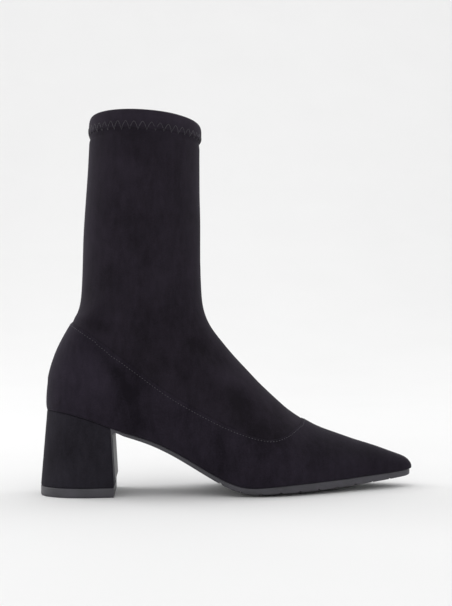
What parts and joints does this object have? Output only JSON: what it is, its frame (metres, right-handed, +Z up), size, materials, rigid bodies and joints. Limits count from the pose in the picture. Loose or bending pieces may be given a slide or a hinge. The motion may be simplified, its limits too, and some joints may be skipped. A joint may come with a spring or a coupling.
{
  "type": "sock boot",
  "caption": "Women's sock boot for the right foot with a pointed toe, a stretch shaft with a folded hem and a covered block heel.",
  "frame": {"origin": "middle of the whole boot's footprint, on the floor it stands on", "axes": "+X towards the toe, +Y towards the inner side of the foot, +Z up"},
  "size_m": [0.2604, 0.0862, 0.2619],
  "materials": {
    "suede_cloth": "matt black suede-like microfibre",
    "lining": "matt dark lining",
    "sole_rubber": "smooth dark grey rubber"
  },
  "bodies": {
    "root": {"upper": "suede_cloth", "insole": "lining", "outsole": "sole_rubber", "heel": "suede_cloth", "top_lift": "sole_rubber"}
  },
  "joints": []
}
